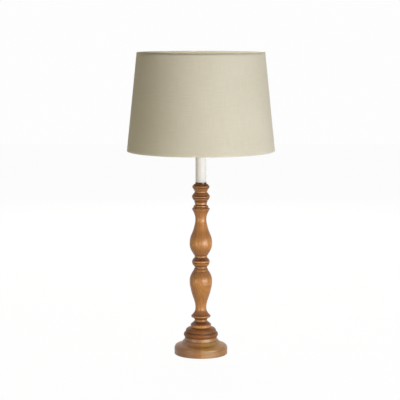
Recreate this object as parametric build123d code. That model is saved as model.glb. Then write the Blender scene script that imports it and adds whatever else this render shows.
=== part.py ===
from build123d import *
import math
import os

# A candlestick table lamp: a turned wooden column on a round foot, a white candle tube with a
# switched bayonet lampholder on top, and a tapered fabric shade carried on a spoked ring.
# Millimetres, +Z up, origin on the axis at the underside, front towards -Y.
# Heights called z are measured from the underside, and everything stacks from there upwards.

# ---- clearances ----
glue_gap = 0.1          # round a glued or pressed-in piece, on the radius
rod_gap = 0.2           # round the threaded rod where it passes through
thread_gap = 0.06       # between a screwed ring and the thread it runs on, on the radius
face_gap = 0.1          # between flat faces that turn or slide on each other
soft_gap = 0.3          # round a soft or loose piece
guide_gap = 0.08        # round a plunger in its bore

# ---- threaded rod, nuts and washers ----
rod_radius = 5.0
rod_bore_radius = 4.0
rod_end = 0.5           # rod that shows past the lower nut
nut_flats = 14.0
nut_height = 5.0
washer_radius = 15.0
washer_height = 1.5
lock_washer_radius = 9.0
lock_washer_height = 2.2
lock_washer_split = 1.6

# ---- foot ----
felt_radius = 58.0
felt_thickness = 1.5
foot_lift = 0.5         # wood above the resting plane
foot_radius = 63.2
foot_edge = 0.6         # bevel along the lower edge
foot_band = 14.1        # upright side above the bevel
foot_quirk = 0.5        # step in above the upright side
foot_ogee = 25.3        # rise of the double curve above the side
foot_top_radius = 38.3
cavity_radius = 42.0
cavity_top = 23.0       # height of the ceiling inside the foot
ballast_height = 8.0

# ---- cable bush at the back of the foot ----
bush_z = 8.0
bush_bore_radius = 2.7
bush_radius = 4.0
bush_length = 12.0      # the part inside the wood
bush_flange_radius = 5.6
bush_flange = 1.6
spot_depth = 1.4        # flat seat cut into the round side

# ---- riser, the turned disc between foot and column ----
riser_quirk = 1.1
torus_height = 10.4
torus_bulge = 2.25
torus_top_radius = 39.0
riser_step = 2.6        # step in above the torus
riser_fillet = 3.6
ovolo_height = 7.8
ovolo_bulge = 1.9
ovolo_top_radius = 28.8
riser_top_radius = 24.6
riser_crown = 1.9       # rise of the riser's top towards the column
riser_spigot_radius = 16.0
riser_spigot = 8.0
column_spigot_radius = 11.0
column_spigot = 20.0

# ---- column, from its foot up: radii and rises of the turned members ----
notch_depth = 0.8       # scored lines on the beads
notch_width = 1.2
groove_depth = 1.3      # deeper grooves beside the fillets
groove_width = 1.9
quirk_rise = 0.8        # small slopes in and out of the fillets

bell_seat = 4.9
bell_rise = 10.85
bell_top_radius = 15.2

base_ring_neck_radius = 15.0
base_ring_neck = 1.4
base_ring_radius = 22.2
base_ring_flare = 6.2
base_ring_nose = 4.8
base_ring_bulge = 0.9

lower_throat_radius = 13.1
lower_throat_rise = 18.6
lower_belly_radius = 26.8
lower_belly_rise = 65.0
lower_step_radius = 18.5
lower_step_rise = 23.4
lower_ledge = 0.7       # step in on the shoulder of the lower vase
lower_ledge_height = 1.3
lower_neck_radius = 16.1
lower_neck_rise = 3.95

lower_fillet_radius = 15.0
lower_fillet = 2.6

mid_bead_foot_radius = 16.6
mid_bead_radius = 20.8
mid_bead_rise = 7.4
mid_bead_bulge = 0.66
mid_bead_nose = 4.2
mid_bead_nose_bulge = 0.45
mid_bead_shoulder_radius = 19.4
mid_bead_shoulder = 2.1
mid_bead_top_radius = 16.0
mid_bead_taper = 3.4

upper_fillet_radius = 15.1
upper_fillet = 2.9

upper_foot_radius = 15.4
upper_belly_radius = 26.8
upper_belly_rise = 29.0
upper_throat_radius = 13.15
upper_throat_rise = 58.0
upper_rim_radius = 20.7
upper_rim_rise = 22.8
upper_rim_nose = 2.9
upper_rim_bulge = 0.5
upper_slope_radius = 17.8
upper_slope = 3.4
upper_slope_hollow = 0.6
upper_band_radius = 16.7
upper_band = 2.4
upper_quirk_rise = 0.9
upper_quirk_radius = 14.5
upper_quirk = 4.0

top_bead_foot_radius = 16.0
top_bead_slope = 2.6
top_bead_radius = 20.6
top_bead_rise = 6.8
top_bead_bulge = 0.4
top_bead_nose = 3.8
top_bead_nose_bulge = 0.9
top_bead_top_radius = 14.8
top_bead_taper = 7.5

cup_neck = 1.8
cup_radius = 20.1
cup_rise = 9.0
cup_hollow = 0.25
cup_nose = 2.4
cup_nose_bulge = 0.55
cup_top_radius = 17.6
cup_top_rise = 2.2
cup_top_bulge = 0.3
cup_lip_radius = 16.3
cup_lip = 1.2
cup_lip_bulge = 0.35

# ---- dark metal collar and candle tube ----
collar_bead_radius = 13.7
collar_bead = 2.4
collar_groove_depth = 0.9
collar_groove = 0.5
collar_lip_radius = 13.4
collar_lip = 1.8
collar_floor = 2.0
collar_wall = 1.7
collar_register = 6.0   # spigot that stands up inside the tube
tube_radius = 12.7
tube_wall = 1.0
tube_length = 90.7
tube_washer = 1.2
tube_washer_lip = 2.0
tube_washer_lip_wall = 1.0

# ---- lampholder ----
holder_radius = 17.0
cap_boss_radius = 8.5
cap_boss = 8.0
cap_dome = 10.0
cap_skirt = 7.0
cap_wall = 1.5
cap_floor = 1.5
grub_screw_radius = 1.5
grub_screw_z = 4.0      # above the bottom of the cap
body_height = 12.0
terminal_offset = 9.0   # terminal screws from the axis, front and back
terminal_head_radius = 2.2
terminal_head = 1.5
terminal_shank_radius = 1.25
terminal_shank = 4.5

bar_width = 6.0
bar_height = 5.0
bar_travel = 5.0
bar_floor = 3.5         # moulding under the bar
bar_button_radius = 3.8
bar_button = 4.5

barrel_radius = 14.0
barrel_bore_radius = 11.3
barrel_flange = 3.0
thread_pitch = 2.0
thread_depth = 0.4
ring_travel = 4.0       # screwed ring, up and down from where it rests
ring_margin = 1.0       # thread left beyond each end of that travel

insert_height = 7.0
plunger_radius = 2.4
plunger_offset = 5.5    # plungers from the axis, front and back
plunger_travel = 2.5
plunger_rise = 2.6      # plunger tip above its moulding
plunger_length = 5.0
spring_turns = 4.5
spring_wire_radius = 0.2
spring_coil_radius = 1.7

# ---- shade rings ----
ring_hub_radius = 16.4
ring_hub = 2.4
ring_flange_radius = 20.2
ring_flange = 1.6
ring_grips = 18
ring_grip_radius = 0.9
reducer_flange_radius = 23.0
reducer_flange = 1.4
reducer_bore_radius = 14.6
fitter_hole_radius = 21.0
fitter_ring_width = 4.5
fitter_thickness = 1.5
lug_gap = 0.15
lug_reach = 0.7         # snap lugs past the edge of the fitter's hole
lug_height = 0.7
lug_width = 5.0
lug_count = 3

# ---- shade ----
shade_bottom_radius = 175.0
shade_top_radius = 151.0
shade_height = 231.4
shade_drop = 68.55      # fitter ring's underside above the lower rim
hem_thickness = 0.5
hem_outer_height = 7.0
hem_inner_height = 8.0
fabric_thickness = 0.7
liner_thickness = 0.4
shade_wire_radius = 1.25
spoke_radius = 1.6
spoke_count = 3
spoke_first_angle = 90.0
spoke_shoulder = 14.0   # level stretch outside the fitter ring
spoke_toe = 16.0        # level stretch inside the lower wire
spoke_bend = 12.0

# ---- bulb ----
bulb_cap_radius = 10.95
bulb_cap_wall = 0.5
bulb_cap_height = 25.5
bulb_pin_radius = 1.1
bulb_pin_reach = 13.3   # tip of a pin from the axis
bulb_pin_rise = 6.6     # pins above the cap's lower edge
bulb_insulator_radius = 7.6
bulb_contact_radius = 2.6
bulb_contact = 0.4
bulb_turn = 20.0        # degrees between locked and free
slot_gap = 0.3
bulb_radius = 30.0
bulb_length = 105.0     # contacts to top
glass_wall = 0.7
glass_neck_radius = 10.2
glass_in_cap = 8.0
mount_flare_radius = 7.0
mount_rod_radius = 2.2
mount_height = 38.0
filament_radius = 0.35
filament_width = 22.0
lead_radius = 0.4

# ---- heights that follow from the stack ----
felt_recess_z = felt_thickness
band_top = foot_lift + foot_edge + foot_band
foot_top = band_top + foot_ogee
riser_top = foot_top + riser_quirk + torus_height + riser_fillet + ovolo_height + riser_crown
column_rises = [
    bell_seat, bell_rise, base_ring_neck, base_ring_flare, base_ring_nose,
    lower_throat_rise, lower_belly_rise, lower_step_rise, lower_ledge_height, lower_neck_rise,
    groove_width, lower_fillet, groove_width,
    mid_bead_rise, notch_width, mid_bead_nose, mid_bead_shoulder, notch_width, mid_bead_taper,
    groove_width, upper_fillet, quirk_rise, upper_belly_rise, upper_throat_rise, upper_rim_rise,
    upper_rim_nose, upper_slope, notch_width, upper_band, upper_quirk_rise, groove_width, upper_quirk,
    top_bead_slope, groove_width, top_bead_rise, notch_width, top_bead_nose, notch_width, top_bead_taper,
    cup_neck, cup_rise, notch_width, cup_nose, cup_top_rise, notch_width, cup_lip]
column_top = riser_top + sum(column_rises)
tube_z = column_top + collar_bead + collar_groove + collar_lip
tube_top = tube_z + tube_length
holder_z = tube_top + tube_washer
cap_top = holder_z + cap_boss + cap_dome + cap_skirt
body_top = cap_top + body_height
barrel_flange_top = body_top + barrel_flange
lower_ring_z = barrel_flange_top + ring_margin + ring_travel
reducer_z = lower_ring_z + ring_hub + ring_flange + face_gap
fitter_z = reducer_z + reducer_flange + face_gap
reducer_top = fitter_z + fitter_thickness + lug_gap + lug_height
upper_ring_z = reducer_top + face_gap
barrel_top = upper_ring_z + ring_flange + ring_hub + ring_travel + ring_margin
plunger_tip = body_top + insert_height + plunger_rise
bulb_z = plunger_tip + face_gap
shade_z = fitter_z - shade_drop
shade_top = shade_z + shade_height
hem_roll = 2 * shade_wire_radius + hem_thickness    # depth of the rolled rim

STANDING = (Align.CENTER, Align.CENTER, Align.MIN)


# ---- helpers ----
class Outline:
    """An outline drawn upwards, member by member, as (radius, height)."""

    def __init__(self, radius, height):
        self.start = (radius, height)
        self.point = (radius, height)
        self.edges = []

    def step(self, radius, rise=0.0):
        """Straight to a radius, this far up."""
        end = (radius, self.point[1] + rise)
        self.edges.append(Line(self.point, end))
        self.point = end

    def arc(self, radius, rise, bulge):
        """Round to a radius, this far up, swelling outwards by the bulge (inwards if negative)."""
        end = (radius, self.point[1] + rise)
        across = end[0] - self.point[0]
        chord = math.hypot(across, rise)
        middle = ((self.point[0] + end[0]) / 2 + bulge * rise / chord,
                  (self.point[1] + end[1]) / 2 - bulge * across / chord)
        self.edges.append(ThreePointArc(self.point, middle, end))
        self.point = end

    def flow(self, radius, rise, via, leave=(0, 1), arrive=(0, 1)):
        """A flowing curve to a radius, this far up, through shares of its own width and rise."""
        start = self.point
        end = (radius, start[1] + rise)
        middle = [(start[0] + (radius - start[0]) * w, start[1] + rise * h) for w, h in via]
        self.edges.append(Spline(start, *middle, end, tangents=[leave, arrive]))
        self.point = end

    def notch(self):
        """A scored line."""
        radius = self.point[0]
        self.step(radius - notch_depth, notch_width / 2)
        self.step(radius, notch_width / 2)

    def groove(self, radius):
        """A rounded groove that ends at a radius."""
        self.arc(radius, groove_width, -groove_depth)

    def turn(self, bore):
        """The solid of revolution between this outline and a bore."""
        self.step(bore)
        self.edges.append(Line(self.point, (bore, self.start[1])))
        self.edges.append(Line((bore, self.start[1]), self.start))
        face = make_face(Plane.XZ * Wire(self.edges))
        return revolve(face, Axis.Z)


def disc(radius, height, z, hole=0.0, at=(0, 0)):
    """An upright cylinder standing at height z, with a hole through it if one is given."""
    body = Cylinder(radius, height, align=STANDING)
    if hole:
        body -= Cylinder(hole, height, align=STANDING)
    return Pos(at[0], at[1], z) * body


def revolved(points):
    """A polygon of (radius, height) points turned round the axis."""
    return revolve(make_face(Plane.XZ * Polyline(*points, close=True)), Axis.Z)


def around(count, first=0.0):
    """Evenly spaced turns about the axis."""
    return [Rot(0, 0, first + 360 * i / count) for i in range(count)]


def shade_radius(z):
    """Outside of the shade at a height."""
    return shade_bottom_radius + (shade_top_radius - shade_bottom_radius) * (z - shade_z) / shade_height


def shade_band(low, high, inset, thickness):
    """A tapered band of the shade's wall, this far inside its outer face."""
    return revolved([(shade_radius(low) - inset, low), (shade_radius(high) - inset, high),
                     (shade_radius(high) - inset - thickness, high),
                     (shade_radius(low) - inset - thickness, low)])


# ---- foot and what is inside it ----
def felt_pad():
    return disc(felt_radius, felt_thickness, 0)


def foot_outline():
    line = Outline(foot_radius - foot_edge, foot_lift)
    line.step(foot_radius, foot_edge)
    line.step(foot_radius, foot_band)
    line.step(foot_radius - foot_quirk)
    line.flow(foot_top_radius, foot_ogee, [(0.11, 0.24), (0.42, 0.37), (0.69, 0.50), (0.87, 0.70)],
              arrive=(-0.1, 1))
    return line


def foot():
    body = foot_outline().turn(rod_radius + rod_gap)
    body -= disc(felt_radius + soft_gap, felt_recess_z - foot_lift, foot_lift)
    body -= disc(cavity_radius, cavity_top - felt_recess_z, felt_recess_z)
    mortise = riser_spigot + soft_gap
    body -= disc(riser_spigot_radius + glue_gap, mortise, foot_top - mortise)
    drill = Cylinder(bush_radius + glue_gap, foot_radius, align=STANDING)
    body -= Pos(0, cavity_radius / 2, bush_z) * Rot(-90, 0, 0) * drill
    spot = Cylinder(bush_flange_radius + soft_gap, 2 * spot_depth, align=STANDING)
    body -= Pos(0, foot_radius - spot_depth, bush_z) * Rot(-90, 0, 0) * spot
    return body


def ballast_weight():
    return disc(cavity_radius - soft_gap, ballast_height, cavity_top - ballast_height, rod_radius + rod_gap)


washer_z = cavity_top - ballast_height - washer_height
lock_washer_z = washer_z - lock_washer_height
base_nut_z = lock_washer_z - nut_height
rod_z = base_nut_z - rod_end


def base_washer():
    return disc(washer_radius, washer_height, washer_z, rod_radius + rod_gap)


def base_lock_washer():
    ring = disc(lock_washer_radius, lock_washer_height, lock_washer_z, rod_radius + rod_gap)
    split = Box(lock_washer_radius, lock_washer_split, 2 * lock_washer_height,
                align=(Align.MIN, Align.CENTER, Align.CENTER))
    return ring - Pos(0, 0, lock_washer_z) * split


def hex_nut(z):
    shape = extrude(RegularPolygon(nut_flats / 2, 6, major_radius=False), nut_height)
    return Pos(0, 0, z) * (shape - Cylinder(rod_radius + thread_gap, nut_height, align=STANDING))


def threaded_rod():
    return disc(rod_radius, rod_top - rod_z, rod_z, rod_bore_radius)


def cable_bush():
    body = Cylinder(bush_radius, bush_length, align=STANDING)
    body += Pos(0, 0, bush_length) * Cylinder(bush_flange_radius, bush_flange, align=STANDING)
    body -= Cylinder(bush_bore_radius, bush_length + bush_flange, align=STANDING)
    rim = body.edges().filter_by(GeomType.CIRCLE).group_by(Axis.Z)[-1]
    body = chamfer(rim, bush_flange / 4)
    return Pos(0, foot_radius - spot_depth - bush_length, bush_z) * Rot(-90, 0, 0) * body


# ---- riser and column ----
def riser_outline():
    line = Outline(foot_top_radius, foot_top)
    line.step(foot_top_radius, riser_quirk)
    line.arc(torus_top_radius, torus_height, torus_bulge)
    line.step(torus_top_radius - riser_step, riser_quirk / 4)
    line.step(torus_top_radius - riser_step, riser_fillet - riser_quirk / 4)
    line.arc(ovolo_top_radius, ovolo_height, ovolo_bulge)
    line.step(riser_top_radius, riser_crown)
    return line


def riser():
    body = riser_outline().turn(rod_radius + rod_gap)
    body += disc(riser_spigot_radius, riser_spigot, foot_top - riser_spigot, rod_radius + rod_gap)
    socket = column_spigot + soft_gap
    return body - disc(column_spigot_radius + glue_gap, socket, riser_top - socket)


def lower_members(line):
    """Bell, ring and lower vase."""
    line.step(riser_top_radius, bell_seat)
    line.flow(bell_top_radius, bell_rise, [(0.2, 0.26), (0.62, 0.57)], (-0.1, 1), (-0.1, 1))
    line.step(base_ring_neck_radius, base_ring_neck)
    line.arc(base_ring_radius, base_ring_flare, -1.4 * base_ring_bulge)
    line.arc(base_ring_radius, base_ring_nose, base_ring_bulge)
    line.flow(lower_throat_radius, lower_throat_rise, [(0.52, 0.28), (0.85, 0.54)], leave=(-1, 0.6))
    line.flow(lower_belly_radius, lower_belly_rise, [(0.29, 0.315), (0.64, 0.54), (0.85, 0.72)])
    line.flow(lower_step_radius, lower_step_rise, [(0.25, 0.5)], arrive=(-0.65, 1))
    line.step(lower_step_radius - lower_ledge)
    line.step(lower_step_radius - lower_ledge, lower_ledge_height)
    line.step(lower_neck_radius, lower_neck_rise)


def middle_members(line):
    """Fillets and the bead between the two vases."""
    line.groove(lower_fillet_radius)
    line.step(lower_fillet_radius, lower_fillet)
    line.groove(mid_bead_foot_radius)
    line.arc(mid_bead_radius, mid_bead_rise, mid_bead_bulge)
    line.notch()
    line.arc(mid_bead_radius, mid_bead_nose, mid_bead_nose_bulge)
    line.step(mid_bead_shoulder_radius, mid_bead_shoulder)
    line.notch()
    line.step(mid_bead_top_radius, mid_bead_taper)
    line.groove(upper_fillet_radius)
    line.step(upper_fillet_radius, upper_fillet)


def upper_members(line):
    """Upper vase with its spreading rim."""
    line.step(upper_foot_radius, quirk_rise)
    line.flow(upper_belly_radius, upper_belly_rise, [(0.44, 0.27), (0.79, 0.54)], leave=(0.55, 0.8))
    line.flow(upper_throat_radius, upper_throat_rise, [(0.18, 0.29), (0.63, 0.56), (0.89, 0.8)])
    line.flow(upper_rim_radius, upper_rim_rise, [(0.36, 0.57)], arrive=(0.5, 0.8))
    line.arc(upper_rim_radius, upper_rim_nose, upper_rim_bulge)
    line.arc(upper_slope_radius, upper_slope, -upper_slope_hollow)
    line.notch()
    line.step(upper_band_radius)
    line.step(upper_band_radius, upper_band)
    line.step(upper_quirk_radius, upper_quirk_rise)
    line.groove(upper_quirk_radius)
    line.step(upper_quirk_radius, upper_quirk)


def top_members(line):
    """Top bead and the cup under the collar."""
    line.step(top_bead_foot_radius, top_bead_slope)
    line.groove(top_bead_foot_radius)
    line.arc(top_bead_radius, top_bead_rise, top_bead_bulge)
    line.notch()
    line.arc(top_bead_radius, top_bead_nose, top_bead_nose_bulge)
    line.notch()
    line.step(top_bead_top_radius, top_bead_taper)
    line.step(top_bead_top_radius, cup_neck)
    line.arc(cup_radius, cup_rise, -cup_hollow)
    line.notch()
    line.arc(cup_radius, cup_nose, cup_nose_bulge)
    line.arc(cup_top_radius, cup_top_rise, cup_top_bulge)
    line.notch()
    line.step(cup_lip_radius)
    line.arc(cup_lip_radius, cup_lip, cup_lip_bulge)


def column_outline():
    line = Outline(riser_top_radius, riser_top)
    lower_members(line)
    middle_members(line)
    upper_members(line)
    top_members(line)
    return line


def column():
    body = column_outline().turn(rod_radius + rod_gap)
    return body + disc(column_spigot_radius, column_spigot, riser_top - column_spigot, rod_radius + rod_gap)


# ---- collar and candle tube ----
def drip_collar():
    line = Outline(collar_bead_radius - collar_bead / 4, column_top)
    line.arc(collar_bead_radius - collar_bead / 4, collar_bead, collar_bead / 4)
    line.step(collar_bead_radius - collar_groove_depth)
    line.step(collar_bead_radius - collar_groove_depth, collar_groove)
    line.step(collar_lip_radius - collar_lip / 6)
    line.arc(collar_lip_radius - collar_lip / 6, collar_lip, collar_lip / 6)
    line.step(tube_radius - tube_wall - glue_gap)
    line.step(tube_radius - tube_wall - glue_gap, collar_register)
    body = line.turn(rod_radius + rod_gap)
    well = tube_z + collar_register - column_top - collar_floor
    inside = tube_radius - tube_wall - glue_gap - collar_wall
    return body - disc(inside, well, column_top + collar_floor)


def candle_tube():
    return disc(tube_radius, tube_length, tube_z, tube_radius - tube_wall)


def tube_top_washer():
    plate = disc(tube_radius, tube_washer, tube_top, rod_radius + rod_gap)
    lip_radius = tube_radius - tube_wall - glue_gap
    return plate + disc(lip_radius, tube_washer_lip, tube_top - tube_washer_lip, lip_radius - tube_washer_lip_wall)


# ---- lampholder ----
rod_top = holder_z + cap_boss


def holder_cap():
    line = Outline(cap_boss_radius, holder_z)
    line.step(cap_boss_radius, cap_boss)
    line.arc(holder_radius, cap_dome, cap_dome / 5)
    line.step(holder_radius, cap_skirt)
    body = line.turn(rod_radius + thread_gap)
    hollow = Outline(rod_radius + cap_floor, holder_z + cap_boss + cap_floor)
    hollow.arc(holder_radius - cap_wall, cap_dome - cap_floor, cap_dome / 6)
    hollow.step(holder_radius - cap_wall, cap_skirt)
    body -= hollow.turn(0)
    screw_hole = Cylinder(grub_screw_radius + thread_gap, holder_radius, align=STANDING)
    return body - Pos(0, 0, holder_z + grub_screw_z) * Rot(-90, 0, 0) * screw_hole


def cap_grub_screw():
    length = cap_boss_radius - rod_radius - face_gap
    screw = Cylinder(grub_screw_radius, length, align=STANDING)
    slot = Pos(0, 0, length) * Box(2 * grub_screw_radius, grub_screw_radius / 3, grub_screw_radius)
    return Pos(0, rod_radius + face_gap, holder_z + grub_screw_z) * Rot(-90, 0, 0) * (screw - slot)


def terminal_places():
    return [(0, terminal_offset), (0, -terminal_offset)]


def switch_body():
    spigot = cap_skirt - cap_floor
    body = disc(holder_radius, body_height, cap_top)
    body += disc(holder_radius - cap_wall - glue_gap, spigot, cap_top - spigot)
    channel = Box(4 * holder_radius, bar_width + 2 * soft_gap, bar_height + 2 * soft_gap,
                  align=(Align.CENTER, Align.CENTER, Align.MIN))
    body -= Pos(0, 0, cap_top + bar_floor - soft_gap) * channel
    for at in terminal_places():
        body -= disc(terminal_shank_radius + thread_gap, terminal_shank, cap_top - spigot, at=at)
    return body


def terminal_screws():
    low = cap_top - cap_skirt + cap_floor
    screws = []
    for at in terminal_places():
        screw = disc(terminal_head_radius, terminal_head, low - terminal_head, at=at)
        screw += disc(terminal_shank_radius, terminal_shank - face_gap, low, at=at)
        slot = Box(2 * terminal_head_radius, terminal_head / 3, terminal_head)
        screws.append(screw - Pos(at[0], at[1], low - terminal_head) * slot)
    return Compound(children=screws)


def push_bar():
    near = holder_radius + face_gap
    far = near + bar_travel
    middle = cap_top + bar_floor + bar_height / 2
    rod = Pos((near - far) / 2, 0, middle) * Box(near + far + bar_button, bar_width, bar_height)
    button = Cylinder(bar_button_radius, bar_button, align=STANDING)
    button = fillet(button.edges().group_by(Axis.Z)[-1], bar_button / 3)
    bar = rod + Pos(near, 0, middle) * Rot(0, 90, 0) * button
    return bar + Pos(-far, 0, middle) * Rot(0, -90, 0) * button


def holder_barrel():
    line = Outline(holder_radius, body_top)
    line.step(holder_radius, barrel_flange)
    line.step(barrel_radius - thread_depth)
    turns = int((barrel_top - barrel_flange_top) / thread_pitch)
    for _ in range(turns):
        line.step(barrel_radius, thread_pitch / 4)
        line.step(barrel_radius, thread_pitch / 4)
        line.step(barrel_radius - thread_depth, thread_pitch / 4)
        line.step(barrel_radius - thread_depth, thread_pitch / 4)
    if barrel_top - line.point[1] > thread_depth:
        line.step(barrel_radius - thread_depth, barrel_top - line.point[1])
    return line.turn(barrel_bore_radius) - bayonet_slots()


def bayonet_slots():
    """Two slots: straight down from the rim, then round to where the bulb's pins rest."""
    half = bulb_pin_radius + slot_gap
    pin_z = bulb_z + bulb_contact + bulb_pin_rise
    low = pin_z - plunger_travel - half
    high = pin_z + bulb_pin_radius + face_gap
    inner = barrel_bore_radius / 2
    outer = 2 * barrel_radius
    half_angle = math.degrees(math.asin(half / barrel_bore_radius))
    window = revolved_sector(inner, outer, low, high, -half_angle, bulb_turn + half_angle)
    drop = revolved_sector(inner, outer, low, 2 * barrel_top - low, bulb_turn - half_angle, bulb_turn + half_angle)
    slot = window + drop
    return slot + Rot(0, 0, 180) * slot


def revolved_sector(inner, outer, low, high, first, last):
    """A sector of a thick ring between two angles."""
    points = [(inner, low), (outer, low), (outer, high), (inner, high)]
    face = make_face(Plane.XZ * Polyline(*points, close=True))
    return Rot(0, 0, first) * revolve(face, Axis.Z, last - first)


def plunger_places():
    return [(0, plunger_offset), (0, -plunger_offset)]


def contact_insert():
    body = disc(barrel_bore_radius - glue_gap, insert_height, body_top)
    for at in plunger_places():
        body -= disc(plunger_radius + guide_gap, insert_height, body_top, at=at)
    return body


def contact_plungers():
    low = plunger_tip - plunger_length
    return Compound(children=[disc(plunger_radius, plunger_length, low, at=at) for at in plunger_places()])


def plunger_springs():
    low = body_top + spring_wire_radius + face_gap / 2
    high = plunger_tip - plunger_length - spring_wire_radius - face_gap / 2
    path = Helix(pitch=(high - low) / spring_turns, height=high - low, radius=spring_coil_radius)
    section = Plane(origin=path @ 0, z_dir=path % 0) * Circle(spring_wire_radius)
    coil = sweep(section, path=path, is_frenet=True)
    return Compound(children=[Pos(at[0], at[1], low) * coil for at in plunger_places()])


# ---- shade rings, reducer and fitter ----
def shade_ring(z, flange_up):
    """A screwed ring with a gripped flange, on its upper or lower side."""
    flange_z = z + ring_hub if flange_up else z
    hub_z = z if flange_up else z + ring_flange
    bore = barrel_radius + thread_gap
    ring = disc(ring_flange_radius, ring_flange, flange_z, bore) + disc(ring_hub_radius, ring_hub, hub_z, bore)
    grip = Pos(ring_flange_radius + ring_grip_radius / 2, 0, 0) * disc(ring_grip_radius, ring_flange, flange_z)
    for turn in around(ring_grips):
        ring -= turn * grip
    return ring


def reducer_ring():
    spigot_radius = fitter_hole_radius - guide_gap
    body = disc(reducer_flange_radius, reducer_flange, reducer_z, reducer_bore_radius)
    body += disc(spigot_radius, reducer_top - reducer_z, reducer_z, reducer_bore_radius)
    reach = fitter_hole_radius + lug_reach
    lug = Box(reach - reducer_bore_radius, lug_width, lug_height, align=(Align.MIN, Align.CENTER, Align.MAX))
    lug = Pos(reducer_bore_radius, 0, reducer_top) * lug
    for turn in around(lug_count):
        body += turn * lug
    return body - disc(reducer_bore_radius, reducer_top - reducer_z, reducer_z)


wire_inset = hem_thickness + fabric_thickness + liner_thickness + 2 * glue_gap + shade_wire_radius + glue_gap
bottom_wire_z = shade_z + hem_thickness + max(shade_wire_radius, spoke_radius) + soft_gap
top_wire_z = shade_top - hem_thickness - shade_wire_radius - soft_gap
bottom_wire_major = shade_radius(bottom_wire_z) - wire_inset
top_wire_major = shade_radius(top_wire_z) - wire_inset


def spoke():
    """One wire spoke: level off the fitter ring, sloping down, and level into the lower wire."""
    start = fitter_hole_radius + fitter_ring_width / 2
    end = bottom_wire_major - shade_wire_radius - face_gap
    level = fitter_z + spoke_radius
    points = [(start, level), (start + fitter_ring_width / 2 + spoke_shoulder, level),
              (end - spoke_toe, bottom_wire_z), (end, bottom_wire_z)]
    path = Plane.XZ * FilletPolyline(*points, radius=spoke_bend)
    section = Plane(origin=path @ 0, z_dir=path % 0) * Circle(spoke_radius)
    return sweep(section, path=path)


def fitter_frame():
    outer = fitter_hole_radius + fitter_ring_width
    frame = disc(outer, fitter_thickness, fitter_z, fitter_hole_radius)
    one = spoke()
    for turn in around(spoke_count, spoke_first_angle):
        frame += turn * one
    return frame


# ---- shade ----
def rim_wire(major, z):
    return Pos(0, 0, z) * Torus(major, shade_wire_radius)


def shade_edges():
    edge = hem_thickness + soft_gap
    return shade_z + edge, shade_top - edge


def shade_fabric():
    low, high = shade_edges()
    return shade_band(low, high, hem_thickness + glue_gap, fabric_thickness)


def shade_liner():
    low, high = shade_edges()
    return shade_band(low, high, hem_thickness + fabric_thickness + 2 * glue_gap, liner_thickness)


def hem(edge, sign):
    """A folded strip of cloth over a rim, up the outside, round the wire and up the inside."""
    inset = wire_inset + shade_wire_radius + soft_gap
    rows = []
    for rise, depth in [(hem_outer_height, 0), (hem_outer_height, hem_thickness),
                        (hem_thickness, hem_thickness), (hem_thickness, inset),
                        (hem_inner_height, inset), (hem_inner_height, inset + hem_thickness),
                        (0, inset + hem_thickness), (0, 0)]:
        z = edge + sign * rise
        rows.append((shade_radius(z) - depth, z))
    return revolved(rows)


def bottom_hem():
    body = hem(shade_z, 1)
    notch = Box(4 * hem_roll, 2 * (spoke_radius + soft_gap), 2 * hem_inner_height,
                align=(Align.MAX, Align.CENTER, Align.MIN))
    notch = Pos(bottom_wire_major, 0, shade_z + hem_thickness) * notch
    for turn in around(spoke_count, spoke_first_angle):
        body -= turn * notch
    return body


def top_hem():
    return hem(shade_top, -1)


# ---- bulb ----
bulb_edge = bulb_z + bulb_contact
bulb_cap_top = bulb_edge + bulb_cap_height
bulb_top = bulb_z + bulb_length
glass_z = bulb_cap_top - glass_in_cap


def bulb_cap():
    cap = disc(bulb_cap_radius, bulb_cap_height, bulb_edge, bulb_cap_radius - bulb_cap_wall)
    floor = bulb_insulator_radius + glue_gap
    cap += disc(bulb_cap_radius, bulb_cap_wall, bulb_edge, floor)
    pin = Cylinder(bulb_pin_radius, bulb_pin_reach - bulb_cap_radius + bulb_cap_wall / 2,
                   align=(Align.CENTER, Align.CENTER, Align.MAX))
    for turn in around(2):
        cap += turn * Pos(bulb_pin_reach, 0, bulb_edge + bulb_pin_rise) * Rot(0, 90, 0) * pin
    return cap


def bulb_insulator():
    height = 3 * bulb_cap_wall
    body = disc(bulb_insulator_radius, height, bulb_edge)
    return body + disc(bulb_cap_radius - bulb_cap_wall - glue_gap, bulb_cap_wall, bulb_edge + 2 * bulb_cap_wall)


def bulb_contacts():
    return Compound(children=[disc(bulb_contact_radius, bulb_contact, bulb_z, at=at)
                              for at in plunger_places()])


def glass_outline(wall):
    """The bulb's outline, this far inside the outer face, from the neck to the top."""
    ball = bulb_radius - wall
    centre = bulb_top - bulb_radius
    neck = glass_neck_radius - wall
    line = Outline(neck, glass_z)
    line.step(neck, glass_in_cap)
    rise = centre - bulb_cap_top
    line.flow(ball, rise, [(0.13, 0.2), (0.5, 0.5), (0.86, 0.76)])
    line.edges.append(ThreePointArc(line.point, (ball * math.sqrt(0.5), centre + ball * math.sqrt(0.5)),
                                    (0, centre + ball)))
    line.edges.append(Line((0, centre + ball), (0, glass_z)))
    line.edges.append(Line((0, glass_z), line.start))
    return revolve(make_face(Plane.XZ * Wire(line.edges)), Axis.Z)


def bulb_glass():
    return glass_outline(0) - glass_outline(glass_wall)


def bulb_mount():
    """The pressed glass mount that closes the neck and carries the filament."""
    flare = glass_neck_radius - glass_wall - glue_gap
    body = disc(flare, glass_wall, glass_z)
    line = Outline(mount_flare_radius, glass_z + glass_wall)
    line.flow(mount_rod_radius, mount_height / 2, [(0.7, 0.4)], leave=(-0.3, 1))
    line.step(mount_rod_radius, mount_height / 2)
    return body + line.turn(0)


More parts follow.
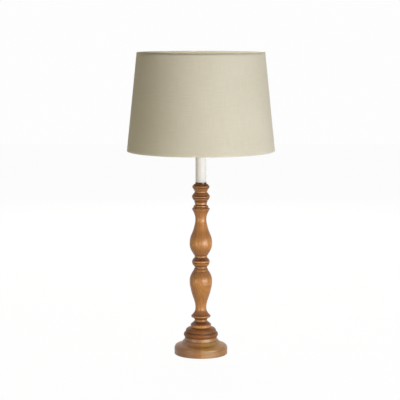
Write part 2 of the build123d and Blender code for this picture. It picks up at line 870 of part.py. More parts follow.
def bulb_filament():
    """Two leads standing on the mount's top, with the filament between them."""
    low = glass_z + glass_wall + mount_height - 2 * lead_radius
    top = low + mount_height / 2
    parts = []
    for side in (-1, 1):
        foot_at = (side * (mount_rod_radius + lead_radius), 0, low)
        tip = (side * filament_width / 2, 0, top)
        lead = Line(foot_at, tip)
        parts.append(sweep(Plane(origin=lead @ 0, z_dir=lead % 0) * Circle(lead_radius), path=lead))
        parts.append(Pos(*tip) * Sphere(1.5 * lead_radius))
    wire = Pos(0, 0, top) * Rot(0, 90, 0) * Cylinder(filament_radius, filament_width)
    body = wire
    for piece in parts:
        body += piece
    return body


NODES = {
    "felt_pad": felt_pad,
    "foot": foot,
    "ballast_weight": ballast_weight,
    "base_washer": base_washer,
    "base_lock_washer": base_lock_washer,
    "base_nut": lambda: hex_nut(base_nut_z),
    "threaded_rod": threaded_rod,
    "cable_bush": cable_bush,
    "riser": riser,
    "column": column,
    "drip_collar": drip_collar,
    "collar_nut": lambda: hex_nut(column_top + collar_floor),
    "candle_tube": candle_tube,
    "tube_top_washer": tube_top_washer,
    "holder_cap": holder_cap,
    "cap_grub_screw": cap_grub_screw,
    "switch_body": switch_body,
    "terminal_screws": terminal_screws,
    "push_bar": push_bar,
    "holder_barrel": holder_barrel,
    "contact_insert": contact_insert,
    "contact_plungers": contact_plungers,
    "plunger_springs": plunger_springs,
    "lower_shade_ring": lambda: shade_ring(lower_ring_z, True),
    "upper_shade_ring": lambda: shade_ring(upper_ring_z, False),
    "reducer_ring": reducer_ring,
    "fitter_frame": fitter_frame,
    "top_wire": lambda: rim_wire(top_wire_major, top_wire_z),
    "bottom_wire": lambda: rim_wire(bottom_wire_major, bottom_wire_z),
    "shade_liner": shade_liner,
    "shade_fabric": shade_fabric,
    "top_hem": top_hem,
    "bottom_hem": bottom_hem,
    "bulb_cap": bulb_cap,
    "bulb_insulator": bulb_insulator,
    "bulb_contacts": bulb_contacts,
    "bulb_glass": bulb_glass,
    "bulb_mount": bulb_mount,
    "bulb_filament": bulb_filament,
}

os.makedirs("parts", exist_ok=True)
for name, make in NODES.items():
    export_step(make(), f"parts/{name}.step")
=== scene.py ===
"""Candlestick lamp: finishes, sewn shade, springs, studio and camera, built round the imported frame."""
import math

import bpy
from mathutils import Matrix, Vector, noise

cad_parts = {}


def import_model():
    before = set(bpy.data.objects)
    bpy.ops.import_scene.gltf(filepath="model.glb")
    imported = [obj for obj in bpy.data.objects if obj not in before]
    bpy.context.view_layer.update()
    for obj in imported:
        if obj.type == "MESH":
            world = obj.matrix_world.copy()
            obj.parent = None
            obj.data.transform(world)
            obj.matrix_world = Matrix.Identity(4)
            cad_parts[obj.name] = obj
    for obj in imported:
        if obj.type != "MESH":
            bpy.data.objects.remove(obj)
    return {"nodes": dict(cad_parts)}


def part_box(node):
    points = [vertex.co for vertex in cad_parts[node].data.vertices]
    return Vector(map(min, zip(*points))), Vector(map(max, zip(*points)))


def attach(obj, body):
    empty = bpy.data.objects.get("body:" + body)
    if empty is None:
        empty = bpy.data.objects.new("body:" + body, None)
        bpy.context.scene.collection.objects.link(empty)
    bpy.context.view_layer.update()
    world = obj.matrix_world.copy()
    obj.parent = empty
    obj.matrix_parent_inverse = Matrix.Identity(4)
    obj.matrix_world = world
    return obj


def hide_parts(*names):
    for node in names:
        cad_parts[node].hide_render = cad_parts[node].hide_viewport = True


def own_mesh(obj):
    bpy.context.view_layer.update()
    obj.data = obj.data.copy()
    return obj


MM = 0.001
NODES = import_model()["nodes"]
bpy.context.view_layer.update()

# ---- camera, from the photograph's perspective ----
IMAGE_SIZE = 400.0              # pixels, both ways
FOCAL_PIXELS = 1450.0
SENSOR = 36.0                   # millimetres
CAMERA_DISTANCE = 3.404         # metres in front of the lamp's axis
CAMERA_HEIGHT = 0.787           # metres above the floor
CAMERA_PITCH = 6.99             # degrees below the horizon
AXIS_PIXEL = 200.9              # column of the picture that the lamp's axis falls on

# ---- cloth ----
AROUND = 384                    # steps round a rim
SEAM_ANGLE = 90.0               # degrees; the cloth's seam is at the back
SEAM_OVERLAP = 12 * MM
SEAM_RAMP = 3 * MM              # length in which the lap rises over the cloth below it
SEAM_STEP = 1.1                 # height of the lap, in thicknesses of the cloth
CLOTH_THICKNESS = 0.45 * MM
CLOTH_INSET = 0.15 * MM         # the cover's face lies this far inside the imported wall
COVER_ROWS = 48                 # steps up the cover
COVER_WAVES = 7.0               # how fast the cover's unevenness changes
COVER_WAVE_DEPTH = 0.12 * MM
WAVES_UPWARDS = 6               # and how many times faster up the cloth, by the metre
THREAD_PITCH = 0.42 * MM

# ---- hems ----
HEM_THICKNESS = 0.45 * MM
HEM_EDGE_BEAD = 0.25 * MM       # the turned edge is a little thicker than the rest
HEM_SHORT_LEG = 1.0 * MM        # the outer leg ends this much short of the inner one
HEM_ROLL = 2.1 * MM             # height of the part that curves round the rim wire
HEM_BENDS = 14                  # steps round that curve
HEM_LEG_STEPS = 5
HEM_RIPPLES = 22.0              # unevenness of the hem's face
HEM_RIPPLE_DEPTH = 0.10 * MM
HEM_EDGE_WAVES = 16.0           # wandering of its turned edges, up and down
HEM_EDGE_WAVE_DEPTH = 0.22 * MM
HEM_EDGE_HEIGHT = 5 * MM        # only what is further than this from the rim wanders
HEM_EDGE_SHIFT = 2.0            # radians between the two patterns

# ---- wood ----
WAVE_UNIT = math.tau / 20       # the wave texture draws its rings this far apart at a scale of 1
RING_SHIFT = 0.012              # metres by which the slow noise moves the rings
BOARD_WAVER = 1.5 * MM          # how far the line between two glued boards wanders to each side
BOARD_BLEND = 2.2 * MM          # and over what width, each way, their colours meet
LACQUER_IOR = 2.2
GROOVE_STAIN_AND_SHADE = 0.6               # brightness of the dark tone in a groove: staining that gathers there, and painted shade

# ---- studio light ----
WORLD_FILL = 0.055
WORLD_TINT = (1.0, 0.88, 0.55)
KEY_TINT = (0.98, 0.99, 1.07)
LEFT_TINT = (1.0, 0.92, 0.76)
BACK_TINT = (1.0, 0.95, 0.84)
MOUTH_TINT = (1.0, 0.985, 0.95)
SKY_GLOW = 0.985                # what the camera and reflections see behind the lamp
FLOOR_GLOW = 0.968              # what they see of the floor itself
FLOOR_SEEN = 0.06               # share of the light on the floor, and of the shadow, that they see
FLOOR_PAPER = 0.82              # share of that light that the floor throws back at the lamp
FLOOR_REACH = 6.0               # metres from the lamp to each edge of the floor
FLOOR_GAP = 0.05 * MM           # the floor lies this far under the felt


def srgb(red, green, blue):
    """A colour given as 0-255 screen values, for a shader."""
    def linear(value):
        value /= 255
        return value / 12.92 if value <= 0.04045 else ((value + 0.055) / 1.055) ** 2.4
    return (linear(red), linear(green), linear(blue), 1.0)


# ---- colours: pale, middle and dark tones of a board, or the tones that anything else mixes ----
HONEY = (srgb(212, 147, 70), srgb(194, 127, 54), srgb(112, 60, 20))
UMBER = (srgb(160, 102, 50), srgb(142, 88, 42), srgb(92, 50, 22))
FOOT_LEFT = (srgb(180, 120, 56), srgb(162, 104, 44), srgb(98, 56, 20))
FOOT_RIGHT = (srgb(200, 146, 58), srgb(178, 124, 44))
SEALER = srgb(255, 234, 204)    # warm tint of the lacquer's reflection
LINEN = (srgb(226, 219, 196), srgb(204, 196, 168))
WHITE = (srgb(236, 235, 228), srgb(228, 226, 218))
WIRE_WHITE = (srgb(236, 236, 232), srgb(230, 230, 225))
TUBE_WHITE = (srgb(228, 227, 219), srgb(221, 220, 212))
LINER_WHITE = (srgb(242, 240, 232), srgb(235, 232, 222))
INNER_WHITE = (srgb(206, 202, 188), srgb(190, 186, 170))
OPAL = (srgb(244, 243, 238), srgb(250, 249, 246))
CLEAR = srgb(238, 244, 242)
IRON = (srgb(70, 70, 72), srgb(48, 48, 50))
ZINC = (srgb(186, 188, 192), srgb(160, 163, 170))
BRONZE = (srgb(86, 72, 54), srgb(54, 44, 32))
BRASS = (srgb(214, 182, 108), srgb(190, 152, 84))
SPRING = (srgb(190, 192, 196), srgb(168, 170, 176))
ALUMINIUM = (srgb(206, 207, 210), srgb(186, 188, 192))
SOLDER = (srgb(178, 178, 176), srgb(140, 140, 140))
TUNGSTEN = (srgb(120, 120, 124), srgb(96, 96, 100))
BUSH_BROWN = (srgb(112, 82, 54), srgb(96, 68, 44))
VITRITE = (srgb(26, 26, 30), srgb(38, 38, 44))
FELT_HAIR = (srgb(38, 52, 40), srgb(70, 86, 68))
FELT_CLUMP = srgb(48, 62, 50)


# ---------------------------------------------------------------- materials
class Graph:
    """A material under construction. Most calls add one shader node and return its output."""

    def __init__(self, name):
        self.material = bpy.data.materials.new(name)
        self.material.use_nodes = True
        self.tree = self.material.node_tree
        self.tree.nodes.clear()
        self.shader = self.tree.nodes.new("ShaderNodeBsdfPrincipled")
        out = self.tree.nodes.new("ShaderNodeOutputMaterial")
        self.tree.links.new(self.shader.outputs["BSDF"], out.inputs["Surface"])
        self.place = self.node("TexCoord", output="Object")

    def plug(self, socket, value):
        """Links a node's output to a socket, or sets the socket to a plain value."""
        if isinstance(value, bpy.types.NodeSocket):
            self.tree.links.new(value, socket)
        else:
            socket.default_value = value

    def node(self, kind, inputs=None, output=0, **settings):
        made = self.tree.nodes.new("ShaderNode" + kind)
        for name, value in settings.items():
            setattr(made, name, value)
        for socket, value in (inputs or {}).items():
            self.plug(made.inputs[socket], value)
        return made.outputs[output]

    def calc(self, operation, *values):
        return self.node("Math", dict(enumerate(values)), operation=operation)

    def stretch(self, scale, move=(0, 0, 0), turn=(0, 0, 0), vector=None):
        inputs = {"Vector": vector or self.place, "Scale": scale, "Location": move, "Rotation": turn}
        return self.node("Mapping", inputs)

    def noise(self, scale, detail=3.0, roughness=0.5, move=(0, 0, 0), vector=None):
        """Smooth noise with so many waves to a metre, the same all ways or by the axis."""
        along = scale if hasattr(scale, "__len__") else (scale, scale, scale)
        place = self.stretch(along, move, vector=vector)
        inputs = {"Vector": place, "Scale": 1.0, "Detail": detail, "Roughness": roughness}
        return self.node("TexNoise", inputs, output="Fac")

    def ramp(self, value, stops):
        """Value to grey, through (place, grey) stops."""
        made = self.tree.nodes.new("ShaderNodeValToRGB")
        self.plug(made.inputs["Fac"], value)
        points = made.color_ramp.elements
        while len(points) < len(stops):
            points.new(0.5)
        for point, (at, grey) in zip(points, stops):
            point.position = at
            point.color = (grey, grey, grey, 1)
        return made.outputs["Color"]

    def remap(self, value, low, high, new_low=0.0, new_high=1.0):
        inputs = {"Value": value, "From Min": low, "From Max": high, "To Min": new_low, "To Max": new_high}
        return self.node("MapRange", inputs)

    def mix(self, share, first, second, how="MIX"):
        made = self.tree.nodes.new("ShaderNodeMix")
        made.data_type = "RGBA"
        made.blend_type = how
        self.plug(made.inputs["Factor"], share)
        colours = [socket for socket in made.inputs if socket.type == "RGBA"]
        for socket, value in zip(colours, (first, second)):
            self.plug(socket, value)
        return [socket for socket in made.outputs if socket.type == "RGBA"][0]

    def recess(self, reach):
        """How open the surface is, 0 in a tight groove and 1 in the open."""
        return self.node("AmbientOcclusion", {"Distance": reach}, output="AO", samples=8, only_local=True)

    def bump(self, height, depth):
        return self.node("Bump", {"Height": height, "Distance": depth, "Strength": 1.0})

    def finish(self, **sockets):
        """Sets the surface's own sockets, by their names with _ for a space."""
        for name, value in sockets.items():
            self.plug(self.shader.inputs[name.replace("_", " ")], value)
        return self.material


def grain(graph, along, offset, tilt, ring_width, seed):
    """Growth rings, fibres, streaks and pores of a board, from a pith line beside the piece."""
    turn = {"Z": (tilt, tilt / 2, 0), "X": (tilt, math.pi / 2, tilt)}[along]
    board = graph.stretch((1, 1, 1), offset, turn)
    wander = graph.noise((9, 9, 2.5), detail=2.0, move=(seed, 0, 0), vector=board)
    swell = graph.node("CombineXYZ", {"X": wander, "Y": wander})
    shift = graph.node("CombineXYZ", {"X": graph.calc("MULTIPLY", wander, RING_SHIFT)})
    warped = graph.node("VectorMath", {0: board, 1: swell, 2: shift}, operation="MULTIPLY_ADD")
    rings = graph.node("TexWave", {"Vector": warped, "Scale": WAVE_UNIT / ring_width, "Distortion": 1.2,
                                   "Detail": 2.0, "Detail Scale": 0.6, "Detail Roughness": 0.6},
                       output="Fac", wave_type="RINGS", rings_direction="Z", wave_profile="SAW")
    fibres = graph.noise((900, 900, 14), detail=4.0, roughness=0.65, vector=board)
    streaks = graph.noise((120, 120, 5), roughness=0.55, vector=board)
    pores = graph.noise((1500, 1500, 70), detail=2.0, vector=board)
    return rings, fibres, streaks, pores


def wood(name, tones, along, offset, tilt, ring_width,
         seed=0.0, soak_and_shade=1.0, gloss=0.26, polish=0.34, beside=None):
    """Turned, stained and lacquered wood. Faces across the grain and grooves are darker: partly staining soaked
    or pooled there, partly painted shade.

    A second board, glued beside the first on the side of +X, may have its own pale and middle tones."""
    pale, middle, dark = tones
    graph = Graph(name)
    rings, fibres, streaks, pores = grain(graph, along, offset, tilt, ring_width, seed)
    late = graph.ramp(rings, [(0.0, 0.0), (0.55, 0.22), (0.88, 1.0), (0.97, 0.75), (1.0, 0.0)])
    streaky = graph.remap(streaks, 0.3, 0.7)
    tone = graph.mix(streaky, pale, middle)
    if beside:
        waver = graph.remap(streaks, 0.2, 0.8, -BOARD_WAVER, BOARD_WAVER)
        side = graph.calc("ADD", graph.node("SeparateXYZ", {0: graph.place}, output="X"), waver)
        tone = graph.mix(graph.remap(side, -BOARD_BLEND, BOARD_BLEND), tone, graph.mix(streaky, *beside))
    colour = graph.mix(graph.calc("MULTIPLY", late, 0.26), tone, dark)
    colour = graph.mix(graph.remap(fibres, 0.38, 0.66, 0.0, 0.26), colour, dark)
    pore_mask = graph.remap(pores, 0.66, 0.76, 0.0, 0.2)
    colour = graph.mix(pore_mask, colour, dark)
    # Painted shade and end grain: faces across the grain are darkened, partly as staining soaked into end
    # grain, partly as painted shade.
    facing = graph.node("SeparateXYZ", {0: graph.node("TexCoord", output="Normal")}, output=along)
    end_grain_stain_and_shade = graph.remap(graph.calc("ABSOLUTE", facing), 0.06, 0.8, 0.0, soak_and_shade)
    colour = graph.mix(end_grain_stain_and_shade, colour, dark)
    # Painted shade in grooves: darker where the surface is closed in, also standing for staining that pools
    # there.
    open_share = graph.remap(graph.recess(8 * MM), 0.35, 0.95)
    gathered_stain_and_shade = tuple(GROOVE_STAIN_AND_SHADE * channel for channel in dark[:3]) + (1,)
    pooled_stain_and_shade = graph.mix(open_share, gathered_stain_and_shade, (1, 1, 1, 1))
    colour = graph.mix(0.95, colour, pooled_stain_and_shade, "MULTIPLY")
    tooling = graph.noise((6, 6, 1400), detail=1.0)
    relief = graph.calc("ADD", graph.calc("MULTIPLY", fibres, 0.6), graph.calc("MULTIPLY", late, -0.5))
    relief = graph.calc("ADD", relief, graph.calc("MULTIPLY", tooling, 0.12))
    normal = graph.bump(graph.calc("SUBTRACT", relief, pore_mask), 0.02 * MM)
    rough = graph.remap(graph.noise(45), 0.3, 0.7, 0.34, 0.44)
    return graph.finish(Base_Color=colour, Roughness=rough, Normal=normal,
                        Coat_Weight=gloss, Coat_Roughness=polish, Coat_IOR=LACQUER_IOR,
                        Specular_IOR_Level=0.15, Specular_Tint=SEALER)


def woven(name, tones):
    """Closely woven cloth: warp and weft threads, thicker slubs, and a soft sheen."""
    graph = Graph(name)
    place = graph.node("TexCoord", output="UV")
    across, up = [graph.node("SeparateXYZ", {0: place}, output=axis) for axis in ("X", "Y")]
    weft_slub = graph.noise((24, 900, 1), roughness=0.6, vector=place)
    warp_slub = graph.noise((900, 24, 1), roughness=0.6, move=(7, 3, 0), vector=place)
    threads = math.tau / THREAD_PITCH
    warp, weft = [graph.calc("SINE", graph.calc("MULTIPLY", way, threads)) for way in (across, up)]
    over = graph.calc("MULTIPLY", warp, weft)
    slubs = graph.calc("ADD", graph.remap(weft_slub, 0.35, 0.75), graph.remap(warp_slub, 0.4, 0.8))
    cloud = graph.noise((5, 5, 1), detail=2.0, vector=place)
    share = graph.calc("ADD", graph.calc("MULTIPLY", slubs, 0.28), graph.calc("MULTIPLY", over, 0.10))
    share = graph.calc("ADD", share, graph.remap(cloud, 0.3, 0.7, 0.0, 0.25))
    colour = graph.mix(graph.remap(share, 0.0, 0.8), *tones)
    height = graph.calc("ADD", graph.calc("MULTIPLY", over, 0.5), graph.calc("MULTIPLY", slubs, 0.8))
    return graph.finish(Base_Color=colour, Roughness=0.72, Normal=graph.bump(height, 0.06 * MM),
                        Sheen_Weight=0.18, Sheen_Roughness=0.45, Specular_IOR_Level=0.35)


def speckled(name, tones, roughness, scale, depth, metallic=0.0, coat=0.0):
    """A moulded, painted or cast surface with a slight change of tone, gloss and level across it.

    scale is its patches to a metre, and depth its unevenness in millimetres."""
    graph = Graph(name)
    broad = graph.noise(scale)
    fine = graph.noise(18 * scale, roughness=0.6)
    tone = graph.mix(graph.remap(broad, 0.35, 0.7), *tones)
    # Painted shade: the tone is darker in recesses and where parts close in.
    recess_shade = graph.remap(graph.recess(3 * MM), 0.3, 0.9, 0.72, 1.0)
    tone = graph.mix(1.0, tone, graph.node("CombineColor", {0: recess_shade, 1: recess_shade, 2: recess_shade}), "MULTIPLY")
    both = graph.calc("ADD", broad, fine)
    rough = graph.remap(both, 0.6, 1.4, 0.8 * roughness, min(1.0, 1.25 * roughness))
    return graph.finish(Base_Color=tone, Roughness=rough, Normal=graph.bump(fine, depth * MM),
                        Metallic=metallic, Coat_Weight=coat, Coat_Roughness=0.08)


def turned_metal(name, tones, roughness):
    """Metal with fine marks that run round the axis."""
    graph = Graph(name)
    broad = graph.noise(70)
    marks = graph.noise((20, 20, 4000), detail=2.0)
    tone = graph.mix(graph.remap(broad, 0.35, 0.7), *tones)
    rough = graph.remap(graph.calc("ADD", broad, marks), 0.6, 1.4, 0.8 * roughness, 1.3 * roughness)
    return graph.finish(Base_Color=tone, Roughness=rough, Normal=graph.bump(marks, 0.004 * MM), Metallic=1.0)


def felt_cloth(name, hairs, clumps):
    """Pressed felt: short hairs every way, and thicker places."""
    graph = Graph(name)
    hair = graph.noise((2600, 900, 1800), detail=5.0, roughness=0.7)
    clump = graph.noise(160)
    tone = graph.mix(graph.remap(hair, 0.3, 0.7), *hairs)
    tone = graph.mix(graph.remap(clump, 0.3, 0.7, 0.0, 0.5), tone, clumps)
    return graph.finish(Base_Color=tone, Roughness=0.95, Normal=graph.bump(hair, 0.25 * MM),
                        Sheen_Weight=0.4, Specular_IOR_Level=0.2)


def opal_coat(name, tones):
    """Glass coated white inside, with a polished face."""
    graph = Graph(name)
    broad = graph.noise(40, detail=2.0)
    tone = graph.mix(graph.remap(broad, 0.3, 0.7), *tones)
    rough = graph.remap(broad, 0.3, 0.7, 0.16, 0.24)
    return graph.finish(Base_Color=tone, Roughness=rough, Coat_Weight=0.4, Coat_Roughness=0.05,
                        Transmission_Weight=0.15, IOR=1.5)


def plain_glass(name, colour):
    """Clear pressed glass."""
    graph = Graph(name)
    rough = graph.remap(graph.noise(60, detail=2.0), 0.3, 0.7, 0.02, 0.06)
    return graph.finish(Base_Color=colour, Roughness=rough, Transmission_Weight=1.0, IOR=1.5)


def materials():
    """Every finish by its slot's name in model.glb.

    The riser shares the foot's slot, and its own finish is added here."""
    return {
        "wood_column": wood("wood_column", HONEY, along="Z", offset=(0.046, 0.026, 0), tilt=0.05,
                            ring_width=3.1 * MM),
        "wood_foot": wood("wood_foot", FOOT_LEFT, along="X", offset=(0.03, 0.045, 0), tilt=0.06,
                          ring_width=3.6 * MM, seed=4.0, soak_and_shade=0.4, gloss=0.42, polish=0.42,
                          beside=FOOT_RIGHT),
        "wood_riser": wood("wood_riser", UMBER, along="X", offset=(0.05, 0.02, 0), tilt=0.05,
                           ring_width=3.2 * MM, seed=9.0, soak_and_shade=0.3, gloss=0.1, polish=0.38),
        "felt": felt_cloth("felt", FELT_HAIR, FELT_CLUMP),
        "cast_iron": speckled("cast_iron", IRON, roughness=0.7, scale=90, depth=0.2, metallic=0.8),
        "zinc_steel": turned_metal("zinc_steel", ZINC, roughness=0.34),
        "dark_bronze": turned_metal("dark_bronze", BRONZE, roughness=0.15),
        "white_tube": speckled("white_tube", TUBE_WHITE, roughness=0.6, scale=30, depth=0.02),
        "white_moulding": speckled("white_moulding", WHITE, roughness=0.3, scale=80, depth=0.01, coat=0.2),
        "inner_moulding": speckled("inner_moulding", INNER_WHITE, roughness=0.6, scale=90, depth=0.03),
        "brass": turned_metal("brass", BRASS, roughness=0.28),
        "spring_steel": turned_metal("spring_steel", SPRING, roughness=0.3),
        "bush_plastic": speckled("bush_plastic", BUSH_BROWN, roughness=0.5, scale=90, depth=0.02),
        "white_wire": speckled("white_wire", WIRE_WHITE, roughness=0.38, scale=60, depth=0.01, coat=0.2),
        "liner": speckled("liner", LINER_WHITE, roughness=0.55, scale=25, depth=0.01),
        "linen": woven("linen", LINEN),
        "opal_glass": opal_coat("opal_glass", OPAL),
        "clear_glass": plain_glass("clear_glass", CLEAR),
        "bulb_aluminium": turned_metal("bulb_aluminium", ALUMINIUM, roughness=0.3),
        "black_vitrite": speckled("black_vitrite", VITRITE, roughness=0.12, scale=80, depth=0.01),
        "solder": speckled("solder", SOLDER, roughness=0.42, scale=300, depth=0.05, metallic=1.0),
        "tungsten": turned_metal("tungsten", TUNGSTEN, roughness=0.4),
    }


def dress_frame(finishes):
    """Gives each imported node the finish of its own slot. The riser is cut from darker stock than the foot."""
    for name, node in NODES.items():
        for slot in node.material_slots:
            slot.material = finishes["wood_riser" if name == "riser" else slot.material.name.split(".")[0]]


# ---------------------------------------------------------------- shade
def wall_radius(node, z, outer=True):
    """Outer or inner radius of a node's straight wall at a height, from its lowest and highest vertices."""
    rows = {}
    for vertex in NODES[node].data.vertices:
        radius = math.hypot(vertex.co.x, vertex.co.y)
        rows.setdefault(round(vertex.co.z, 5), []).append(radius)
    pick = max if outer else min
    (low, r_low), *_, (high, r_high) = sorted((key, pick(radii)) for key, radii in rows.items())
    return r_low + (r_high - r_low) * (z - low) / (high - low)


def wavering(angle, z, scale, depth):
    """A small smooth unevenness that closes round the shade."""
    place = Vector((math.cos(angle) * scale, math.sin(angle) * scale, z * scale * WAVES_UPWARDS))
    return depth * noise.noise(place)


def strip_span(radius):
    """Angles at which a strip starts and ends, when it goes once round and laps at the back."""
    start = math.radians(SEAM_ANGLE) - SEAM_OVERLAP / radius / 2
    return start, start + math.tau + SEAM_OVERLAP / radius


def seam_lift(angle, end, radius, thickness):
    """Nothing along the strip, and a step outwards where its end laps over its start."""
    ramp = SEAM_RAMP / radius
    share = (angle - (end - SEAM_OVERLAP / radius - ramp)) / ramp
    share = min(1.0, max(0.0, share))
    return SEAM_STEP * thickness * share * share * (3 - 2 * share)


def cloth_strip(name, section, radius, thickness, finish):
    """A cloth strip carried once round the axis and lapped over its start, with its cut ends closed.

    section(angle) gives its closed outline as (radius, z)."""
    start, end = strip_span(radius)
    vertices = []
    count = len(section(start))
    for i in range(AROUND + 1):
        angle = start + (end - start) * i / AROUND
        lift = seam_lift(angle, end, radius, thickness)
        for reach, z in section(angle):
            reach += lift
            vertices.append((reach * math.cos(angle), reach * math.sin(angle), z))
    faces = []
    for i in range(AROUND):
        for j in range(count):
            a, b = i * count + j, i * count + (j + 1) % count
            faces.append((a, a + count, b + count, b))
    faces.append(tuple(range(count)))
    faces.append(tuple(AROUND * count + j for j in reversed(range(count))))
    mesh = bpy.data.meshes.new(name)
    mesh.from_pydata(vertices, [], faces)
    layer = mesh.uv_layers.new(name="cloth")
    for polygon in mesh.polygons:
        for loop in polygon.loop_indices:
            vertex = mesh.loops[loop].vertex_index
            along = radius * (end - start) * (vertex // count) / AROUND
            layer.data[loop].uv = (along, mesh.vertices[vertex].co.z)
    mesh.validate()
    mesh.polygons.foreach_set("use_smooth", [True] * len(mesh.polygons))
    mesh.materials.append(finish)
    piece = bpy.data.objects.new(name, mesh)
    bpy.context.collection.objects.link(piece)
    return piece


def shade_cloth(finish):
    """The cover: a tapered wall of cloth, lapped over itself at the back."""
    low, high = [corner.z for corner in map(Vector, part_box("shade_fabric"))]
    wall_low = wall_radius("shade_fabric", low)
    wall_high = wall_radius("shade_fabric", high)

    def section(angle):
        outer, inner = [], []
        for j in range(COVER_ROWS + 1):
            z = low + (high - low) * j / COVER_ROWS
            wall = wall_low + (wall_high - wall_low) * j / COVER_ROWS
            wall += wavering(angle, z, COVER_WAVES, COVER_WAVE_DEPTH)
            outer.append((wall - CLOTH_INSET, z))
            inner.append((wall - CLOTH_INSET - CLOTH_THICKNESS, z))
        return outer + inner[::-1]

    cover = cloth_strip("shade_cover", section, wall_low, CLOTH_THICKNESS, finish)
    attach(cover, "shade")
    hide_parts("shade_fabric")


def hem_section(node, edge):
    """Outline of the rolled hem: down the outside, round the rim wire and up the inside, and back.

    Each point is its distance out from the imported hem's face and its distance in from the rim."""
    (_, _, low), (_, _, high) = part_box(node)
    inner_leg = high - low
    outer_leg = inner_leg - HEM_SHORT_LEG
    depth = 0.5 * (wall_radius(node, edge) - wall_radius(node, edge, outer=False))
    middle = []
    for k in range(HEM_LEG_STEPS):
        middle.append((0.0, outer_leg + (HEM_ROLL - outer_leg) * k / HEM_LEG_STEPS))
    for k in range(HEM_BENDS + 1):
        turn = math.pi * k / HEM_BENDS
        middle.append((-depth * (1 - math.cos(turn)), HEM_ROLL * (1 - math.sin(turn))))
    for k in range(1, HEM_LEG_STEPS + 1):
        middle.append((-2 * depth, HEM_ROLL + (inner_leg - HEM_ROLL) * k / HEM_LEG_STEPS))
    half = HEM_THICKNESS / 2
    last = len(middle) - 1
    outer, inner = [], []
    for k, (u, v) in enumerate(middle):
        before, after = middle[max(0, k - 1)], middle[min(last, k + 1)]
        du, dv = after[0] - before[0], after[1] - before[1]
        length = math.hypot(du, dv)
        nu, nv = -dv / length, du / length
        swell = half + (HEM_EDGE_BEAD if k in (0, last) else 0)
        outer.append((u + nu * swell - half, v + nv * swell))
        inner.append((u - nu * swell - half, v - nv * swell))
    return [(u, max(v, 0.0)) for u, v in outer + inner[::-1]]


def rolled_hem(name, node, edge, sign, finish):
    """The hem strip at one rim, with its turned edges and its lap at the back."""
    radius = wall_radius(node, edge)
    slope = (wall_radius(node, edge + sign * MM) - radius) / MM
    profile = hem_section(node, edge)

    def section(angle):
        outline = []
        for u, v in profile:
            z = edge + sign * v
            if v > HEM_EDGE_HEIGHT:
                z += wavering(angle + HEM_EDGE_SHIFT, v, HEM_EDGE_WAVES, HEM_EDGE_WAVE_DEPTH)
            outline.append((radius + slope * v + u + wavering(angle, v, HEM_RIPPLES, HEM_RIPPLE_DEPTH), z))
        return outline if sign > 0 else outline[::-1]

    hem = cloth_strip(name, section, radius, HEM_THICKNESS, finish)
    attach(hem, "shade")
    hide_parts(node)


def sewn_shade(finishes):
    """Cover and hems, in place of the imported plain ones."""
    shade_cloth(finishes["linen"])
    rolled_hem("lower_hem_strip", "bottom_hem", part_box("bottom_hem")[0][2], 1, finishes["linen"])
    rolled_hem("upper_hem_strip", "top_hem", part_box("top_hem")[1][2], -1, finishes["linen"])


def squeezed_springs(finish):
    """The plunger springs, copied onto the lamp body in place of the imported ones. The real springs shorten as
    the bulb is pushed in; this copy keeps its length.
    """
    node = NODES["plunger_springs"]
    mesh = node.data.copy()
    mesh.transform(node.matrix_world)
    mesh.materials.clear()
    mesh.materials.append(finish)
    springs = bpy.data.objects.new("coil_springs", mesh)
    bpy.context.collection.objects.link(springs)
    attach(springs, "lamp")
    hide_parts("plunger_springs")
    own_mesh(springs)


# ---------------------------------------------------------------- studio
def add_lamp(name, azimuth, height, distance, width, tall, power, colour=(1, 1, 1), aim=0.36, hidden=False):
    """A soft rectangular lamp that faces the axis at the height aim.

    Azimuth 0 is the camera's side, positive to its right. A hidden lamp isn't seen or reflected."""
    light = bpy.data.lights.new(name, "AREA")
    light.shape = "RECTANGLE"
    light.size, light.size_y = width, tall
    light.energy = power
    light.color = colour
    lamp = bpy.data.objects.new(name, light)
    bpy.context.collection.objects.link(lamp)
    angle = math.radians(azimuth)
    lamp.location = (distance * math.sin(angle), -distance * math.cos(angle), height)
    towards = Vector((0, 0, aim)) - lamp.location
    lamp.rotation_euler = towards.to_track_quat("-Z", "Y").to_euler()
    if hidden:
        lamp.visible_camera = lamp.visible_glossy = False


def seen_rays(tree):
    """1 for rays by which the camera, a reflection or clear glass sees a surface, and 0 for all others."""
    path = tree.nodes.new("ShaderNodeLightPath")
    seen = path.outputs["Is Camera Ray"]
    for ray in ("Is Glossy Ray", "Is Transmission Ray"):
        either = tree.nodes.new("ShaderNodeMath")
        either.operation = "MAXIMUM"
        tree.links.new(seen, either.inputs[0])
        tree.links.new(path.outputs[ray], either.inputs[1])
        seen = either.outputs[0]
    return seen


def studio_world():
    """White to look at, and a soft warm fill as light."""
    world = bpy.data.worlds.new("studio")
    bpy.context.scene.world = world
    world.use_nodes = True
    tree = world.node_tree
    tree.nodes.clear()
    fill = tree.nodes.new("ShaderNodeBackground")
    fill.inputs["Color"].default_value = (*WORLD_TINT, 1)
    fill.inputs["Strength"].default_value = WORLD_FILL
    white = tree.nodes.new("ShaderNodeBackground")
    white.inputs["Color"].default_value = (1, 1, 1, 1)
    white.inputs["Strength"].default_value = SKY_GLOW
    blend = tree.nodes.new("ShaderNodeMixShader")
    out = tree.nodes.new("ShaderNodeOutputWorld")
    tree.links.new(seen_rays(tree), blend.inputs["Fac"])
    tree.links.new(fill.outputs[0], blend.inputs[1])
    tree.links.new(white.outputs[0], blend.inputs[2])
    tree.links.new(blend.outputs[0], out.inputs["Surface"])


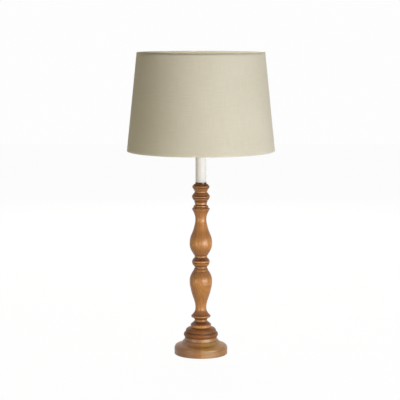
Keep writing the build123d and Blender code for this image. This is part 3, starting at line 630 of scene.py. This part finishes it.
def studio_floor():
    """A plain white floor that keeps a faint shadow."""
    mesh = bpy.data.meshes.new("floor")
    corners = [(-FLOOR_REACH, -FLOOR_REACH), (FLOOR_REACH, -FLOOR_REACH),
               (FLOOR_REACH, FLOOR_REACH), (-FLOOR_REACH, FLOOR_REACH)]
    mesh.from_pydata([(x, y, -FLOOR_GAP) for x, y in corners], [], [(0, 1, 2, 3)])
    floor = bpy.data.objects.new("floor", mesh)
    bpy.context.collection.objects.link(floor)
    material = bpy.data.materials.new("floor")
    material.use_nodes = True
    tree = material.node_tree
    tree.nodes.clear()
    seen = seen_rays(tree)
    paper = tree.nodes.new("ShaderNodeBsdfDiffuse")
    tone = tree.nodes.new("ShaderNodeMapRange")
    tone.inputs["To Min"].default_value = FLOOR_PAPER
    tone.inputs["To Max"].default_value = FLOOR_SEEN
    tree.links.new(seen, tone.inputs["Value"])
    tree.links.new(tone.outputs[0], paper.inputs["Color"])
    glow = tree.nodes.new("ShaderNodeEmission")
    strength = tree.nodes.new("ShaderNodeMath")
    strength.operation = "MULTIPLY"
    strength.inputs[1].default_value = FLOOR_GLOW
    tree.links.new(seen, strength.inputs[0])
    tree.links.new(strength.outputs[0], glow.inputs["Strength"])
    both = tree.nodes.new("ShaderNodeAddShader")
    out = tree.nodes.new("ShaderNodeOutputMaterial")
    tree.links.new(paper.outputs[0], both.inputs[0])
    tree.links.new(glow.outputs[0], both.inputs[1])
    tree.links.new(both.outputs[0], out.inputs["Surface"])
    mesh.materials.append(material)


def studio_lamps():
    """A broad low key on the right, weak lamps in front and at the left, two behind, one over the shade."""
    add_lamp("key", azimuth=41, height=0.17, distance=2.3, width=2.3, tall=0.30, power=43, colour=KEY_TINT)
    add_lamp("front_low", azimuth=-6, height=0.16, distance=1.9, width=1.2, tall=0.25, power=2.0, aim=0.3)
    add_lamp("left_strip", azimuth=-48, height=0.10, distance=1.7, width=0.50, tall=0.17, power=5.0,
             colour=LEFT_TINT, aim=0.2)
    behind = {"azimuth": 180, "width": 1.0, "tall": 0.8, "colour": BACK_TINT, "hidden": True}
    add_lamp("back", height=1.3, distance=2.7, power=24, **behind)
    add_lamp("top", height=2.3, distance=1.1, power=15, **behind)
    add_lamp("shade_mouth", azimuth=-75, height=0.80, distance=0.06, width=0.10, tall=0.06, power=0.36,
             colour=MOUTH_TINT, aim=0.77, hidden=True)


def photo_camera():
    """The camera that took the photograph, as its perspective gives it."""
    data = bpy.data.cameras.new("camera")
    data.sensor_width = SENSOR
    data.lens = FOCAL_PIXELS * SENSOR / IMAGE_SIZE
    camera = bpy.data.objects.new("camera", data)
    bpy.context.collection.objects.link(camera)
    sideways = (AXIS_PIXEL - IMAGE_SIZE / 2) * CAMERA_DISTANCE / FOCAL_PIXELS
    camera.location = (-sideways, -CAMERA_DISTANCE, CAMERA_HEIGHT)
    camera.rotation_euler = (math.radians(90 - CAMERA_PITCH), 0, 0)
    bpy.context.scene.camera = camera


FINISHES = materials()
dress_frame(FINISHES)
sewn_shade(FINISHES)
squeezed_springs(FINISHES["spring_steel"])
studio_world()
studio_floor()
studio_lamps()
photo_camera()
bpy.context.scene.view_settings.view_transform = "Standard"
